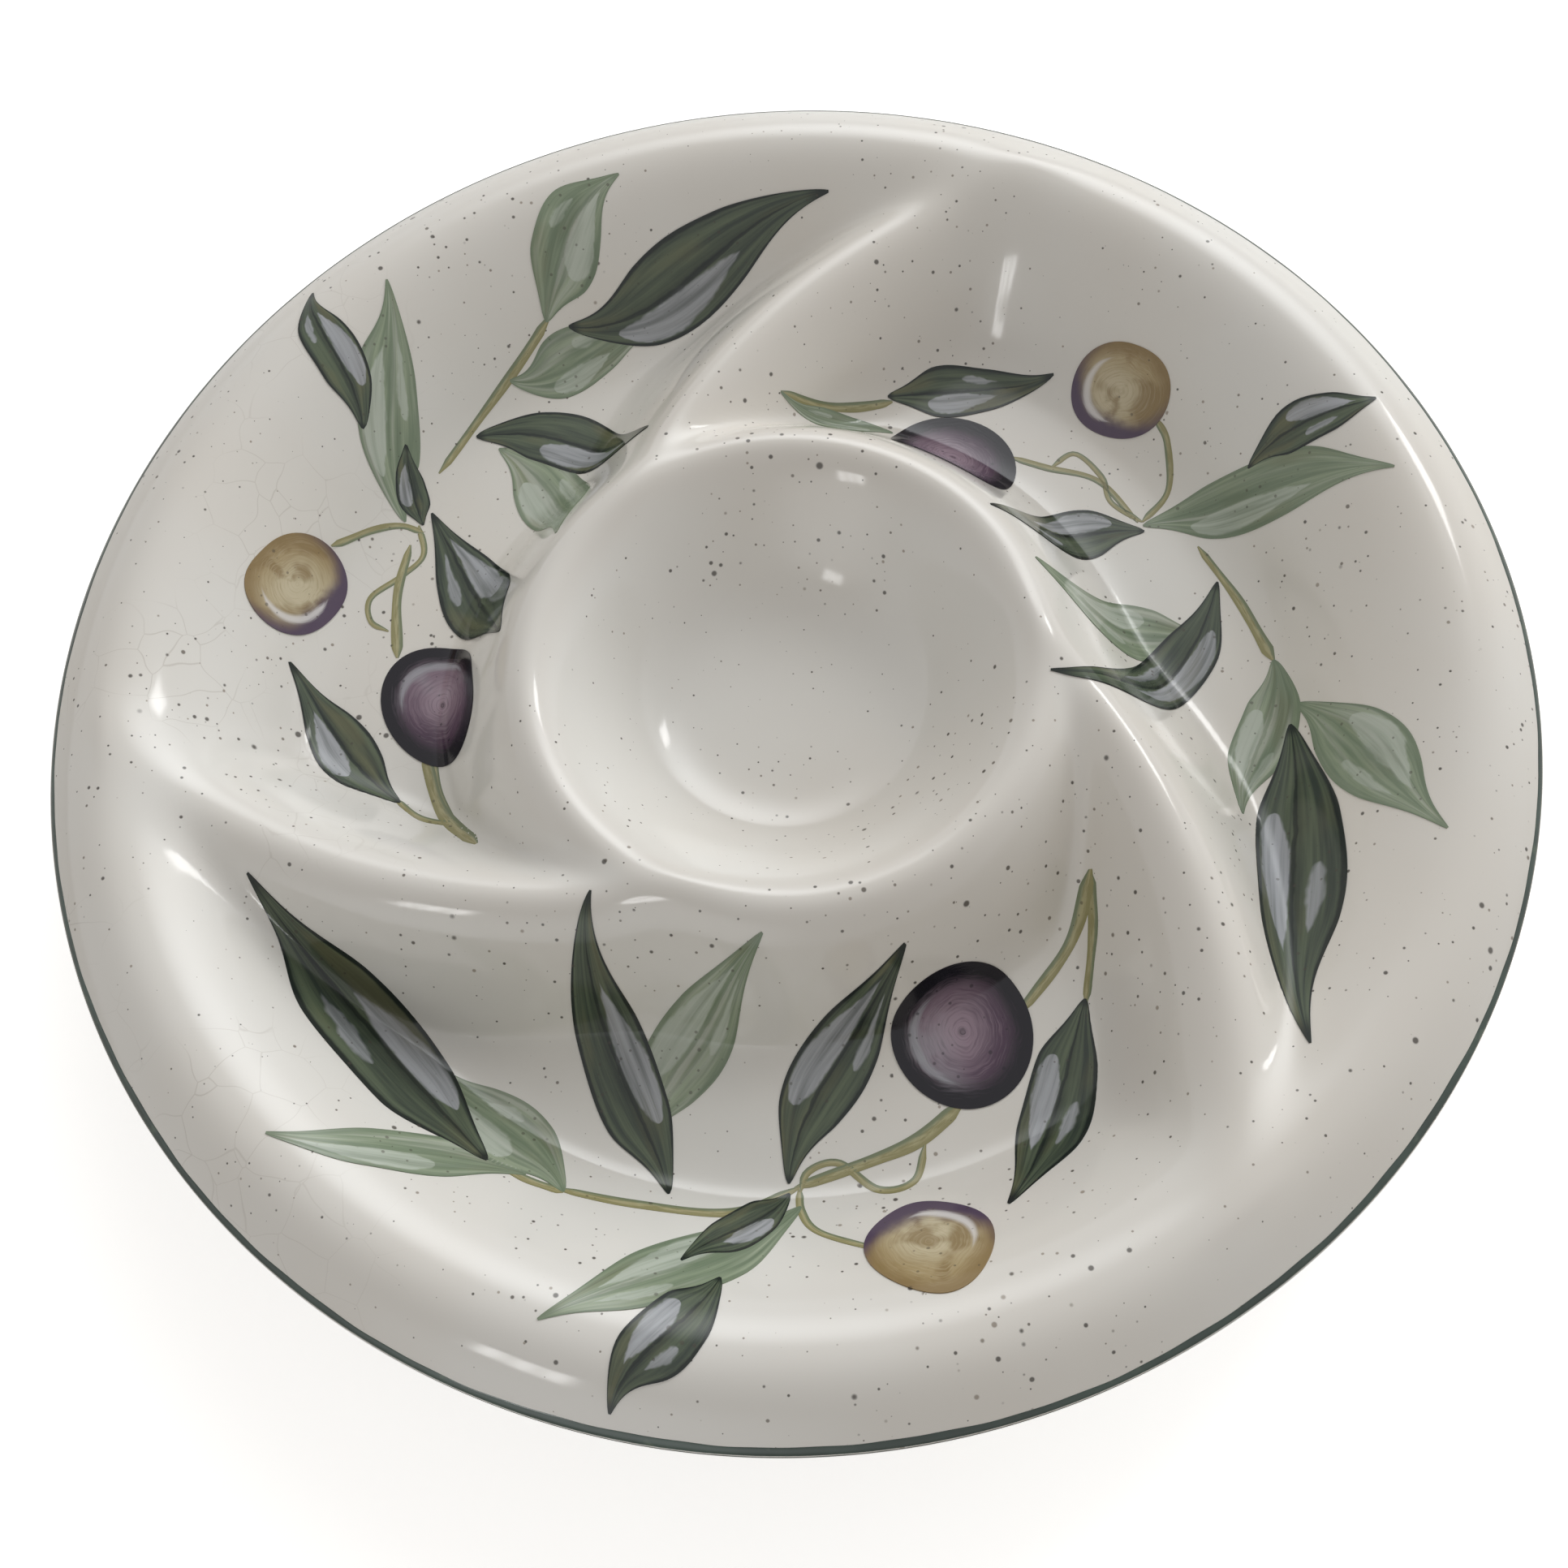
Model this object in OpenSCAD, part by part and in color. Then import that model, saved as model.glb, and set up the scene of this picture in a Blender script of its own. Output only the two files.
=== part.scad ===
// Round stoneware serving dish for olives and nibbles: three swirled compartments round a dip bowl.
// One moulded clay wall of even thickness, a foot ring, a glaze coat on each side and a painted edge.
// The frame stands on the table: origin at the middle of the foot, +Z up, millimetres.

/* [Dish] */
// Diameter over the painted edge
dish_d = 300; // [280:1:340]
// Height of the rim's crown above the table
dish_h = 42; // [36:0.5:50]
// Thickness of the fired clay wall
wall_t = 5.5; // [4:0.1:6.5]
// Thickness of the glaze coats and of the painted line
glaze_t = 0.5; // [0.3:0.05:0.8]

/* [Rim] */
// Distance from the painted edge in to the rim's crown
rim_roll = 14; // [11:0.5:18]
// Radius of the rim's crown
rim_crown_r = 11; // [8:0.5:14]
// Steepness of the rim outside its crown, rise over run
rim_slope = 1.2; // [0.9:0.05:1.4]
// Height of the painted line round the edge
line_h = 3; // [2:0.1:4]

/* [Compartments] */
// Number of compartments, and of the dividers between them
compartments = 3; // [2:1:4]
// Steepness of the compartment walls and of the dividers, rise over run
wall_slope = 1.7; // [1.4:0.05:2]
// Softness of the hollow corners, about a third of their radius
hollow_soft = 3.2; // [2.4:0.1:4]

/* [Dividers] */
// Drop of a divider's crest below the rim's crown, where it leaves the bowl
divider_drop_in = 5; // [3:0.5:8]
// Drop of a divider's crest below the rim's crown, where it meets the rim
divider_drop_out = 4; // [2:0.5:7]
// Radius of a divider's crest where it leaves the bowl
divider_crest_in_r = 3.6; // [3.4:0.1:6]
// Radius of a divider's crest where it meets the rim
divider_crest_out_r = 7; // [4:0.5:10]
// Steepness with which a divider dies away past the lip and past the crown
divider_end_slope = 3; // [2.5:0.1:4]
// Radius of the arc that a divider follows, seen from above
swirl_r = 145; // [140:1:160]
// Distance of that arc's centre from the dish's axis
swirl_centre = 104; // [98:1:120]
// Direction in which the first divider reaches the edge, in degrees
swirl_start = 55; // [0:5:120]

/* [Dip bowl] */
// Diameter across the crest of the bowl's lip
lip_d = 105; // [98:1:125]
// Drop of the lip's crest below the rim's crown
lip_drop = 3; // [0:0.5:8]
// Radius of the lip's crest
lip_crest_r = 4; // [3.6:0.1:6]
// Steepness of the bowl's inner wall, rise over run
bowl_slope = 1.6; // [1.3:0.05:2]
// Softness of the bowl's floor corner, about a third of its radius
bowl_soft = 6; // [4:0.5:8]

/* [Foot] */
// Diameter through the middle of the foot ring
foot_d = 180; // [165:1:200]
// Width of the foot ring
foot_w = 8; // [6:0.5:12]
// Height of the clay's floor above the table
foot_h = 6; // [5:0.5:9]
// Radius of the foot ring's lower corners
foot_round = 1.5; // [0.5:0.1:2.5]

/* [Hidden] */
$fn = 96;

// Facets along one compartment; half of them lie along the flanks of its dividers
facets_per_compartment = 24;

// Where the rings of facets lie, as shares of the span that each list names
face_bowl_shares = [0.34, 0.58, 0.76, 0.9, 1];
face_lip_shares = [0.1, 0.25, 0.45, 0.7, 1];
face_wall_shares = [0, 0.25, 0.42, 0.57, 0.7, 0.82, 0.92, 1];
face_roll_shares = [0.3, 0.58, 0.82, 1];
back_bowl_shares = [0.45, 0.8, 1];
back_lip_shares = [0.35, 0.7, 1];
back_wall_shares = [0, 0.4, 0.7, 1];
back_roll_shares = [0.55, 1];

edge_r = dish_d / 2;
crown_r = edge_r - rim_roll;
lip_r = lip_d / 2;
foot_in_r = (foot_d - foot_w) / 2;
foot_out_r = (foot_d + foot_w) / 2;
floor_z = foot_h + wall_t + glaze_t;
lip_z = dish_h - lip_drop;
bowl_run = (lip_z - floor_z) / bowl_slope;
flank_run = (dish_h - divider_drop_in - floor_z) / wall_slope + divider_crest_in_r;
line_top_z = dish_h - fall(rim_roll, rim_slope, rim_slope * rim_crown_r);
line_bottom_z = line_top_z - line_h;
facets = facets_per_compartment * compartments;
swirl_axis = swirl_start - swirl_turn(edge_r);

// How deep each surface of the wall lies below the glazed face
clay_top = glaze_t;
clay_back = glaze_t + wall_t;
glaze_back = clay_back + glaze_t;

face_rings = rings(face_bowl_shares, face_lip_shares, face_wall_shares, face_roll_shares);
back_rings = rings(back_bowl_shares, back_lip_shares, back_wall_shares, back_roll_shares);
// The back's rings that carry the foot: it stands between this one and the next
foot_ring_index = len(back_bowl_shares) + len(back_lip_shares) - 1;

// Radii of the rings of facets, from the middle of the bowl out to the edge
function rings(bowl_shares, lip_shares, wall_shares, roll_shares) = concat(
    [for (s = bowl_shares) s * lip_r],
    [for (s = lip_shares) lip_r + s * (foot_in_r - lip_r)],
    [for (s = wall_shares) foot_out_r + s * (crown_r - foot_out_r)],
    [for (s = roll_shares) crown_r + s * rim_roll]
);

function total(v) = v * [for (x = v) 1];
function mix(a, b, t) = a + (b - a) * min(1, max(0, t));

// Distance between two points at the radii r and s, a turn apart
function apart(r, turn, s) = sqrt(r * r + s * s - 2 * r * s * cos(turn));

// Height that a rounded crest has lost at a distance d from its line
function fall(d, slope, round) = slope * (sqrt(d * d + round * round) - round);

// Rounding of a crest of radius r, for the surface that lies deep below the face
function crest_round(r, slope, deep) = max(0, r * slope - deep * (sqrt(1 + slope * slope) - 1) / slope);

// A hollow corner opens out by as much as the surface lies deep below the face
function soft_at(soft, slope, deep) = soft + deep * slope * slope / 4 / pow(1 + slope * slope / 4, 1.5);

// Turn from the swirl arc's own axis to the divider's line at radius r, or to the arc's end nearer the bowl
function swirl_turn(r) =
    acos(max(-1, (r * r + pow(swirl_centre, 2) - pow(swirl_r, 2)) / (2 * r * swirl_centre)));

// Heights of the crests at radius r and angle a, for the surface that lies deep below the face
function rim(r, deep) =
    let (slope = r < crown_r ? wall_slope : rim_slope)
    dish_h - deep - fall(r - crown_r, slope, crest_round(rim_crown_r, slope, deep));

function lip(r, deep) =
    let (slope = r < lip_r ? bowl_slope : wall_slope)
    lip_z - deep - fall(r - lip_r, slope, crest_round(lip_crest_r, slope, deep));

// Distance from a divider's line, which runs along one half of its arc and ends where it is nearest the bowl
function aside(r, turn) =
    sin(turn) > 0
        ? apart(r, turn, swirl_centre) - swirl_r
        : apart(r, turn, swirl_centre - swirl_r);

function divider(r, turn, deep) =
    let (
        along = (r - lip_r) / (crown_r - lip_r),
        crest_r = mix(divider_crest_in_r, divider_crest_out_r, along),
        drop = mix(divider_drop_in, divider_drop_out, along),
        past_end = max(0, lip_r - r, r - crown_r)
    )
    dish_h - drop - deep
        - fall(aside(r, turn), wall_slope, crest_round(crest_r, wall_slope, deep))
        - fall(past_end, divider_end_slope, lip_crest_r);

function dividers(r, a, deep) = [
    for (i = [0 : compartments - 1])
        divider(r, a - swirl_axis - i * 360 / compartments, deep)
];

// Floor, rim, lip and dividers melt into one surface
function surface_z(r, a, deep) =
    let (
        hollow = soft_at(hollow_soft, wall_slope, deep),
        bowl = soft_at(bowl_soft, bowl_slope, deep),
        soft = mix(hollow, bowl, (lip_r - r) / bowl_run),
        heights = concat([floor_z - deep, rim(r, deep), lip(r, deep)], dividers(r, a, deep))
    )
    soft * ln(total([for (z = heights) exp(z / soft)]));

// Lean of the divider's arc at radius r: between the radius and the line to the arc's centre
function swirl_lean(r) =
    acos(min(1, (r * r + pow(swirl_r, 2) - pow(swirl_centre, 2)) / (2 * r * swirl_r)));

// Angle from the nearest divider to the facet line m, which runs along the flank or over the open floor
function line_turn(r, m) =
    let (
        half_turn = 180 / compartments,
        share = 2 * abs(m) / facets_per_compartment,
        flank_turn = min(half_turn / 2, flank_run / (r * sin(swirl_lean(r))) * 180 / PI),
        along = share < 1 / 2 ? 2 * share * flank_turn : mix(flank_turn, half_turn, 2 * share - 1)
    )
    sign(m) * mix(half_turn * share, along, (edge_r - r) / (2 * rim_roll));

// Facet lines follow the swirl outside the bowl and run straight to its middle inside
function line_angle(r, j) =
    let (
        swirled_r = max(r, lip_r),
        nearest = round(j / facets_per_compartment)
    )
    swirl_axis + swirl_turn(swirled_r) + nearest * 360 / compartments
        + line_turn(swirled_r, j - nearest * facets_per_compartment);

// One ring of points; the last ring lies at the edge, on a level circle
function ring_points(r, deep) = [
    for (j = [0 : facets - 1])
        let (a = line_angle(r, j))
        [r * cos(a), r * sin(a), surface_z(r, a, deep)]
];

function edge_points(inset, z) = [
    for (j = [0 : facets - 1])
        let (a = line_angle(edge_r, j))
        [(edge_r - inset) * cos(a), (edge_r - inset) * sin(a), z]
];

// The rings of one surface from its first ring out to its last, as lists of points
function surface_rings(radii, deep, inset, edge_z) = [
    for (r = radii) r < edge_r ? ring_points(r, deep) : edge_points(inset, edge_z)
];

face_top = surface_rings(face_rings, 0, 0, line_top_z);
face_clay = surface_rings(face_rings, clay_top, glaze_t, line_top_z);
back_clay = surface_rings(back_rings, clay_back, glaze_t, line_bottom_z);
back_skin = surface_rings(back_rings, glaze_back, 0, line_bottom_z);

// The foot ring reaches up to the clay's back, where that comes down lowest over it
foot_seat = concat(back_clay[foot_ring_index], back_clay[foot_ring_index + 1]);
foot_top_z = min([for (p = foot_seat) p[2]]);

function flat(lists) = [for (l = lists) each l];
function part_of(list, first, last) = [for (i = [first : last]) list[i]];
function turned(faces) = [for (f = faces) [f[2], f[1], f[0]]];

// How far the middle of the line between two points lies off the surface that lies deep below the face
function miss(p, q, deep) =
    let (middle = (p + q) / 2)
    abs(middle[2] - surface_z(norm([middle[0], middle[1]]), atan2(middle[1], middle[0]), deep));

// Two triangles of the cell j between the ring i and the next,
// split along the diagonal that lies closer to the surface
function cell(lists, deep, i, j) =
    let (
        p = lists[i],
        q = lists[i + 1],
        next = (j + 1) % facets,
        a = i * facets,
        b = a + facets
    )
    miss(p[j], q[next], deep) < miss(p[next], q[j], deep)
        ? [[a + j, a + next, b + next], [a + j, b + next, b + j]]
        : [[a + j, a + next, b + j], [a + next, b + next, b + j]];

// Triangles of a surface, as places in its list of points
function triangles(lists, deep) = [
    for (i = [0 : len(lists) - 2])
        for (j = [0 : facets - 1])
            each cell(lists, deep, i, j)
];

// Triangles between two rings of points, which start at the places a and b
function wall(a, b) = [
    for (j = [0 : facets - 1])
        let (next = (j + 1) % facets)
        each [[a + j, a + next, b + next], [a + j, b + next, b + j]]
];

function fan(middle, first) = [for (j = [0 : facets - 1]) [middle, first + (j + 1) % facets, first + j]];
function moved(faces, first) = [for (f = faces) [for (i = f) first + i]];

// Clay and glaze share their triangles, so that each coat fits what it covers
face_triangles = triangles(face_clay, clay_top);
back_triangles = triangles(back_clay, clay_back);

// A round plate between an upper and a lower surface, closed at its edge
module plate(upper, lower, upper_triangles, lower_triangles, upper_middle_z, lower_middle_z) {
    upper_at = 2;
    lower_at = upper_at + len(upper) * facets;
    upper_edge = upper_at + (len(upper) - 1) * facets;
    lower_edge = lower_at + (len(lower) - 1) * facets;
    polyhedron(
        points = concat([[0, 0, upper_middle_z], [0, 0, lower_middle_z]], flat(upper), flat(lower)),
        faces = concat(
            fan(0, upper_at),
            moved(upper_triangles, upper_at),
            wall(upper_edge, lower_edge),
            turned(fan(1, lower_at)),
            turned(moved(lower_triangles, lower_at))
        ),
        convexity = 10
    );
}

// A round band between an upper and a lower surface, closed at its inner and outer edges
module collar(upper, lower, shared_triangles) {
    lower_at = len(upper) * facets;
    upper_edge = (len(upper) - 1) * facets;
    lower_edge = lower_at + upper_edge;
    polyhedron(
        points = concat(flat(upper), flat(lower)),
        faces = concat(
            shared_triangles,
            wall(upper_edge, lower_edge),
            turned(moved(shared_triangles, lower_at)),
            turned(wall(0, lower_at))
        ),
        convexity = 10
    );
}

// The moulded clay wall: rim, compartments, dividers and dip bowl in one piece
module dish_body() {
    color("#cbb79c")
        plate(
            face_clay, back_clay, face_triangles, back_triangles,
            surface_z(0, 0, clay_top), surface_z(0, 0, clay_back)
        );
}

// The glaze over the whole face, down to the painted line
module face_glaze() {
    color("#e6e1d9")
        plate(
            face_top, face_clay, face_triangles, face_triangles,
            surface_z(0, 0, 0), surface_z(0, 0, clay_top)
        );
}

// The glaze on the back, wiped off where the foot ring stands
module back_glaze() {
    inner_clay = part_of(back_clay, 0, foot_ring_index);
    inner_skin = part_of(back_skin, 0, foot_ring_index);
    outer_clay = part_of(back_clay, foot_ring_index + 1, len(back_rings) - 1);
    outer_skin = part_of(back_skin, foot_ring_index + 1, len(back_rings) - 1);
    inner_triangles = triangles(inner_clay, clay_back);
    outer_triangles = triangles(outer_clay, clay_back);
    color("#dcd6cc") {
        plate(
            inner_clay, inner_skin, inner_triangles, inner_triangles,
            surface_z(0, 0, clay_back), surface_z(0, 0, glaze_back)
        );
        collar(outer_clay, outer_skin, outer_triangles);
    }
}

// The dark green line painted round the edge
module rim_line() {
    color("#36433b")
        rotate_extrude()
            translate([edge_r - glaze_t, line_bottom_z])
                square([glaze_t, line_h]);
}

// The unglazed ring that the dish stands on
module foot_ring() {
    color("#bfa98c")
        rotate_extrude()
            translate([foot_in_r, 0]) {
                translate([0, foot_round])
                    square([foot_w, foot_top_z - foot_round]);
                translate([foot_round, 0])
                    square([foot_w - 2 * foot_round, foot_top_z]);
                translate([foot_round, foot_round])
                    circle(foot_round);
                translate([foot_w - foot_round, foot_round])
                    circle(foot_round);
            }
}

dish_body();
face_glaze();
back_glaze();
rim_line();
foot_ring();
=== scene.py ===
"""Looks of a round stoneware olive dish: clay, glaze, a painted edge and painted olive sprigs."""

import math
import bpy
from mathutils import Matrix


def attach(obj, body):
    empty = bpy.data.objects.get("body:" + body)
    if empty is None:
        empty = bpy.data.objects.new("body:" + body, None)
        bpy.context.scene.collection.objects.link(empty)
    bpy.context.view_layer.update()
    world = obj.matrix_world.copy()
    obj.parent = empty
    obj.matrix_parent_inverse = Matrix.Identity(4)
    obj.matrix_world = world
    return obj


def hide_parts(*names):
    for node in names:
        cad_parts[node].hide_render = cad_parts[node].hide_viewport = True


bl_info = {
    "name": "Olive Dish",
    "version": (1, 0, 0),
    "blender": (4, 5, 0),
    "location": "View3D > Sidebar > Olive Dish",
    "description": "Dresses the solids of a divided olive dish in glaze and paint",
    "category": "Add Mesh",
}

import bpy
import numpy as np
from bpy.props import FloatProperty, FloatVectorProperty, IntProperty, PointerProperty
from mathutils import Matrix, Vector

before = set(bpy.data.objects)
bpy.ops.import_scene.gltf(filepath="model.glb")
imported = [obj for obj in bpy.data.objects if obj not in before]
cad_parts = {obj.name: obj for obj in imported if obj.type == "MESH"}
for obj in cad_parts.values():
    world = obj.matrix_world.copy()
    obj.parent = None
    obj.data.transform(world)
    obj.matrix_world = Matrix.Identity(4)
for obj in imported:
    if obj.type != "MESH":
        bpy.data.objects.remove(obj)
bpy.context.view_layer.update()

MM = 0.001
FULL_TURN = 2 * math.pi


# Sizes and colours


def linear(code):
    """Linear red, green and blue of a colour code such as e2dcd4."""
    shares = [int(code[i : i + 2], 16) / 255 for i in (0, 2, 4)]
    return tuple(s / 12.92 if s <= 0.04045 else ((s + 0.055) / 1.055) ** 2.4 for s in shares)


def length(name, description, millimetres):
    return FloatProperty(
        name=name,
        description=description,
        default=millimetres * MM,
        min=0.0,
        precision=5,
        subtype="DISTANCE",
        unit="LENGTH",
    )


def slope(name, description, default):
    return FloatProperty(name=name, description=description, default=default, min=0.1)


def share(name, description, default):
    return FloatProperty(
        name=name, description=description, default=default, min=0.0, max=1.0, subtype="FACTOR"
    )


def colour(name, description, code):
    return FloatVectorProperty(
        name=name,
        description=description,
        default=linear(code),
        size=3,
        min=0.0,
        max=1.0,
        subtype="COLOR",
    )


def power(name, description, watts):
    return FloatProperty(name=name, description=description, default=watts, min=0.0, unit="POWER")


class DishForm(bpy.types.PropertyGroup):
    """Sizes of the dish, the same as its solids have."""

    edge_radius: length("Edge radius", "From the axis to the painted edge", 150)
    height: length("Height", "Height of the rim's crown above the table", 42)
    wall: length("Wall", "Thickness of the fired clay", 5.5)
    glaze: length("Glaze", "Thickness of a glaze coat", 0.5)
    floor_height: length("Floor height", "Height of the clay's floor above the table", 6)
    rim_roll: length("Rim roll", "From the edge in to the rim's crown", 14)
    rim_crown: length("Rim crown", "Radius of the rim's crown", 11)
    rim_slope: slope("Rim slope", "Steepness of the rim outside its crown", 1.2)
    line_height: length("Line height", "Height of the painted line round the edge", 3)
    wall_slope: slope("Wall slope", "Steepness of the compartment walls", 1.7)
    hollow_soft: length("Hollow softness", "Softness of the hollow corners", 3.2)
    dividers: IntProperty(
        name="Dividers", description="Number of dividers", default=3, min=1, max=6
    )
    divider_drop_in: length("Divider drop, inner", "Below the crown where it leaves the bowl", 5)
    divider_drop_out: length("Divider drop, outer", "Below the crown where it meets the rim", 4)
    divider_crest_in: length("Divider crest, inner", "Crest radius where it leaves the bowl", 3.6)
    divider_crest_out: length("Divider crest, outer", "Crest radius where it meets the rim", 7)
    divider_end_slope: slope("Divider end slope", "Steepness of a divider past its ends", 3)
    swirl_radius: length("Swirl radius", "Radius of the arc that a divider follows", 145)
    swirl_centre: length("Swirl centre", "From the axis to that arc's centre", 104)
    swirl_start: FloatProperty(
        name="Swirl start",
        description="Direction in which the first divider reaches the edge",
        default=math.radians(55),
        subtype="ANGLE",
        unit="ROTATION",
    )
    lip_radius: length("Lip radius", "From the axis to the crest of the bowl's lip", 52.5)
    lip_drop: length("Lip drop", "Drop of the lip below the rim's crown", 3)
    lip_crest: length("Lip crest", "Radius of the lip's crest", 4)
    bowl_slope: slope("Bowl slope", "Steepness of the bowl's inner wall", 1.6)
    bowl_soft: length("Bowl softness", "Softness of the bowl's floor corner", 6)
    foot_inner: length("Foot, inner radius", "Inner radius of the foot ring", 86)
    foot_outer: length("Foot, outer radius", "Outer radius of the foot ring", 94)


class DishFinish(bpy.types.PropertyGroup):
    """Colours of the clay, the glaze and the paint."""

    glaze: colour("Glaze", "Off-white glaze", "dbd9d4")
    glaze_warm: colour("Glaze, warm", "Warmer clouds in the glaze", "d7d2ca")
    glaze_crest: colour("Glaze on crests", "Where the glaze runs thin", "d5d0c9")
    speck: colour("Specks", "Iron specks in the glaze", "463f38")
    speck_faint: colour("Faint specks", "Specks that lie deeper in the glaze", "998f83")
    clay: colour("Clay", "Fired stoneware", "cbb79c")
    edge: colour("Edge line", "Green paint round the edge", "2b3a33")
    leaf_dark: colour("Dark leaf", "Deep green of the dark leaves", "363f38")
    leaf_green: colour("Leaf green", "Lighter green of the dark leaves", "5d6853")
    leaf_olive: colour("Leaf olive", "Brownish green where the brush ran thin", "6e6c4e")
    leaf_line: colour("Leaf outline", "Dark line round a leaf and along its rib", "1c2321")
    leaf_light: colour("Leaf light", "Pale stroke of light on a leaf", "a9abb1")
    pale_leaf: colour("Pale leaf", "Grey green of the pale leaves", "95a189")
    pale_leaf_deep: colour("Pale leaf, deep", "Darker strokes in the pale leaves", "6b7a64")
    pale_leaf_light: colour("Pale leaf, light", "Lighter strokes in the pale leaves", "b7beb3")
    stem: colour("Stem", "Olive tan of the stems", "8f8a62")
    stem_light: colour("Stem, light", "Lighter middle of the stems", "b5ae8a")
    olive_ring: colour("Dark olive, ring", "Near-black ring of a ripe olive", "17141d")
    olive_flesh: colour("Dark olive", "Purple of a ripe olive", "4a3549")
    olive_bloom: colour("Dark olive, bloom", "Mauve bloom of a ripe olive", "9b8794")
    gold_flesh: colour("Golden olive", "Golden tan of a half-ripe olive", "a3906a")
    gold_light: colour("Golden olive, light", "Lighter strokes of a half-ripe olive", "c6bb9f")
    gold_deep: colour("Golden olive, deep", "Brown edge of a half-ripe olive", "86704a")
    gold_blush: colour("Golden olive, blush", "Purple blush on a half-ripe olive", "4f4159")
    brush_light: colour("Brush light", "White touch of light on an olive", "dcd9d8")


class DishStage(bpy.types.PropertyGroup):
    """Light, floor and camera."""

    back_power: power("Back power", "Power of the large soft light behind the dish", 60.0)
    side_power: power("Side power", "Power of the low soft light on the right", 48.0)
    front_power: power("Front power", "Power of the weak soft light in front of the dish", 10.0)
    window_power: power("Window power", "Power of the small window that glints in the glaze", 1.6)
    pane_power: power("Pane power", "Power of each narrow pane that glints in the glaze", 0.3)
    sky: share("Sky", "Strength of the soft light from all round", 0.4)
    sky_tint: colour("Sky tint", "Warm tint of the light from all round", "fffbf6")
    day_tint: colour("Day tint", "Cool tint of the soft lights", "fafdff")
    floor: colour("Floor", "Pale floor", "f4f3f1")
    floor_lift: share("Floor lift", "How far the floor is lifted to white for the camera", 0.58)
    lens: FloatProperty(
        name="Lens",
        description="Focal length",
        default=38.711,
        min=1.0,
        subtype="DISTANCE_CAMERA",
        unit="CAMERA",
    )


# The form, as heights over the plan

# The slope is taken over twice this step, and a crest's bulge from a ring of this radius
SLOPE_STEP = 0.1 * MM
CREST_REACH, CREST_FULL, CREST_TURNS = 3 * MM, 0.8 * MM, 8


def mix(a, b, t):
    return a + (b - a) * np.clip(t, 0, 1)


def fall(d, steep, rounding):
    """Height that a rounded crest has lost at a distance d from its line."""
    return steep * (np.sqrt(d * d + rounding * rounding) - rounding)


def crest_round(radius, steep, deep):
    """Rounding of a crest, for the surface that lies deep below the face."""
    return np.maximum(0, radius * steep - deep * (np.sqrt(1 + steep * steep) - 1) / steep)


def soft_at(soft, steep, deep):
    """A hollow corner opens out by as much as the surface lies deep below the face."""
    return soft + deep * steep * steep / 4 / (1 + steep * steep / 4) ** 1.5


def apart(r, turn, s):
    """Distance between two points at the radii r and s, a turn apart."""
    return np.sqrt(r * r + s * s - 2 * r * s * np.cos(turn))


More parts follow.
